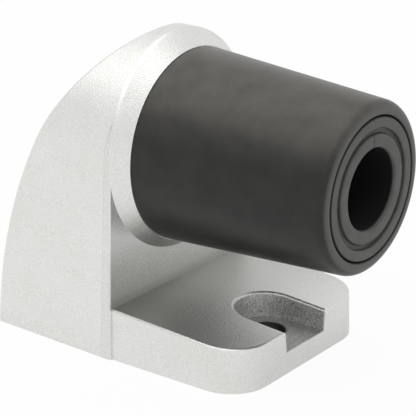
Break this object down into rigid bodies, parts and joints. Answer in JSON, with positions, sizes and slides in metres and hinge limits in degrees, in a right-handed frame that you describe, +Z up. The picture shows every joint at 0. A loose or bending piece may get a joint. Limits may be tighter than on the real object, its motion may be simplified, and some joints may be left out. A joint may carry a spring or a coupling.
{
  "type": "floor door stop",
  "caption": "Heavy floor door stop: an arched metal casting with a screw-down foot, and a hollow tapered rubber buffer on the door's side.",
  "frame": {"origin": "axis of the floor screw's hole, on the floor", "axes": "+Z up out of the floor along the floor screw, -Y towards the door that strikes the buffer, +X across the stop"},
  "size_m": [0.0508, 0.0805, 0.0676],
  "materials": {
    "casting": "fine-grained satin silver",
    "sleeve_rubber": "satin moulded rubber",
    "core_rubber": "satin moulded rubber",
    "washer_steel": "plated steel",
    "screw_steel": "plated steel"
  },
  "bodies": {
    "root": {"base_casting": "casting", "buffer_sleeve": "sleeve_rubber", "buffer_core": "core_rubber", "buffer_washer": "washer_steel", "buffer_screw": "screw_steel"}
  },
  "joints": []
}
